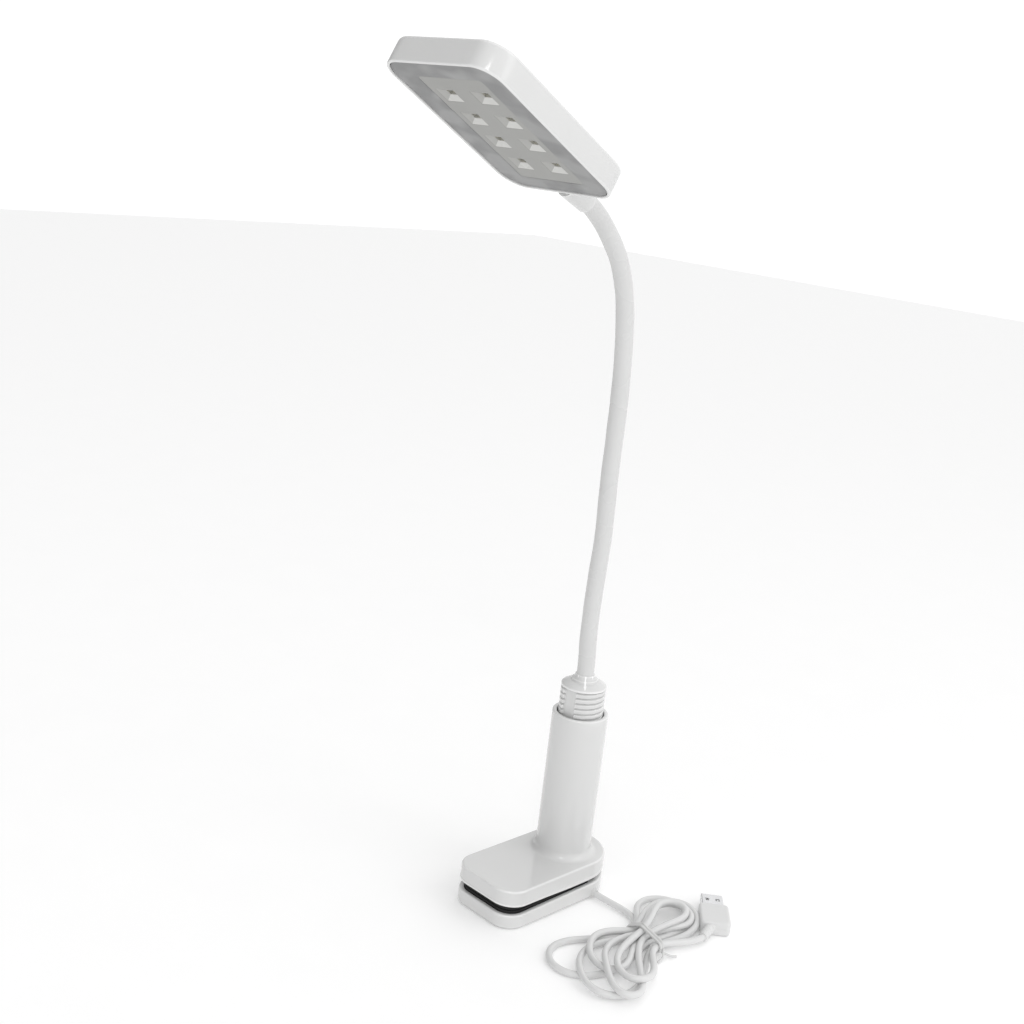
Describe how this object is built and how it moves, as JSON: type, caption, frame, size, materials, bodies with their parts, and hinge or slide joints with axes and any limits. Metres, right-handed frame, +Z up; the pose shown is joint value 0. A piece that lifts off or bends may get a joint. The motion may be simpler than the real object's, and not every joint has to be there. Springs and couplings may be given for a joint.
{
  "type": "clip on reading lamp",
  "caption": "Clip-on reading lamp: flat LED head on a bendable neck that screws into a tubular post on a sprung two-jaw clip, with a tied USB lead.",
  "frame": {"origin": "on the surface the lamp stands on, under the axis of the post", "axes": "+Z up along the post, +X towards the mouth of the clip and under the head, +Y to the side where the lead leaves"},
  "size_m": [0.2089, 0.1384, 0.4363],
  "materials": {
    "gloss_white": "satin gloss, moulded",
    "soft_white": "satin, moulded",
    "black_rubber": "matt",
    "steel": "plain drawn or turned steel",
    "frosted_grey": "frosted",
    "panel_grey": "satin",
    "board_white": "white solder mask on aluminium",
    "board_green": "solder mask",
    "led_yellow": "silicone filled package",
    "black_plastic": "satin",
    "nickel": "nickel plated"
  },
  "bodies": {
    "lower_jaw": {"lower_jaw_shell": "gloss_white", "lower_jaw_base_plate": "soft_white", "base_screw_left": "steel", "base_screw_right": "steel", "front_foot": "soft_white", "rear_foot": "soft_white", "lower_grip_pad": "black_rubber", "hinge_pin": "steel", "clip_spring": "steel", "cord_gland": "soft_white", "cord_lead": "soft_white", "cord_bundle": "soft_white", "twist_tie": "soft_white", "cord_tail": "soft_white", "usb_overmould": "soft_white", "usb_shell": "nickel", "usb_tongue": "soft_white"},
    "upper_jaw": {"upper_jaw_and_post": "gloss_white", "upper_jaw_inner_plate": "soft_white", "jaw_screw_left": "steel", "jaw_screw_right": "steel", "upper_grip_pad": "black_rubber", "thread_insert": "soft_white"},
    "lead_carrier": {"supply_lead": "black_plastic"},
    "neck_base": {"neck_plug": "gloss_white", "neck_sleeve_1": "soft_white", "neck_core_1": "steel"},
    "neck_2": {"neck_sleeve_2": "soft_white", "neck_core_2": "steel"},
    "neck_3": {"neck_sleeve_3": "soft_white", "neck_core_3": "steel"},
    "neck_4": {"neck_sleeve_4": "soft_white", "neck_core_4": "steel"},
    "neck_5": {"neck_sleeve_5": "soft_white", "neck_core_5": "steel"},
    "neck_6": {"neck_sleeve_6": "soft_white", "neck_core_6": "steel"},
    "neck_7": {"neck_sleeve_7": "soft_white", "neck_core_7": "steel"},
    "head": {"neck_sleeve_8": "soft_white", "neck_core_8": "steel", "head_collar": "gloss_white", "head_cover": "gloss_white", "diffuser_frame": "frosted_grey", "reflector_panel": "panel_grey", "led_board": "board_white", "driver_board": "board_green", "switch_body": "black_plastic", "led_1": "led_yellow", "led_2": "led_yellow", "led_3": "led_yellow", "led_4": "led_yellow", "led_5": "led_yellow", "led_6": "led_yellow", "led_7": "led_yellow", "led_8": "led_yellow"},
    "button": {"power_button": "soft_white"}
  },
  "joints": [
    {"name": "clip_hinge", "type": "hinge", "parent": "lower_jaw", "child": "upper_jaw", "pos_m": [-0.0175, 0, 0.0125], "axis": [0, -1, 0], "range_deg": [0, 35], "stiffness_Nm_per_rad": 0.6, "springref_deg": -48.7, "deforming": ["clip_spring"]},
    {"name": "neck_lift", "type": "slide", "parent": "upper_jaw", "child": "lead_carrier", "axis": [0, 0, 1], "range_m": [-0.0121, 0.0031]},
    {"name": "neck_turn", "type": "hinge", "parent": "lead_carrier", "child": "neck_base", "pos_m": [0, 0, 0.1], "axis": [0, 0, 1], "range_deg": [-1440, 360]},
    {"name": "neck_bend_1_fore_aft", "type": "hinge", "parent": "neck_base", "child": "neck_2", "pos_m": [0.0014, 0, 0.146], "axis": [0, 1, 0], "range_deg": [-35, 35]},
    {"name": "neck_bend_2_sideways", "type": "hinge", "parent": "neck_2", "child": "neck_3", "pos_m": [0.0011, 0, 0.183], "axis": [1, 0, 0], "range_deg": [-35, 35]},
    {"name": "neck_bend_3_fore_aft", "type": "hinge", "parent": "neck_3", "child": "neck_4", "pos_m": [0.0008, 0, 0.22], "axis": [0, 1, 0], "range_deg": [-35, 35]},
    {"name": "neck_bend_4_sideways", "type": "hinge", "parent": "neck_4", "child": "neck_5", "pos_m": [0.0016, 0, 0.257], "axis": [1, 0, 0], "range_deg": [-35, 35]},
    {"name": "neck_bend_5_fore_aft", "type": "hinge", "parent": "neck_5", "child": "neck_6", "pos_m": [0.0028, 0, 0.294], "axis": [0, 1, 0], "range_deg": [-35, 35]},
    {"name": "neck_bend_6_sideways", "type": "hinge", "parent": "neck_6", "child": "neck_7", "pos_m": [0.0086, 0, 0.331], "axis": [0.9526, 0, -0.3043], "range_deg": [-35, 35]},
    {"name": "neck_bend_7_fore_aft", "type": "hinge", "parent": "neck_7", "child": "head", "pos_m": [0.0276, 0, 0.3616], "axis": [0, 1, 0], "range_deg": [-35, 35]},
    {"name": "button_press", "type": "slide", "parent": "head", "child": "button", "axis": [0.4772, 0, -0.8788], "range_m": [0, 0.0005], "stiffness_N_per_m": 400, "springref_m": -0.001}
  ],
  "couplings": [
    {"joint": "neck_lift", "follows": "neck_turn", "m_per_rad": 0.00047746}
  ]
}
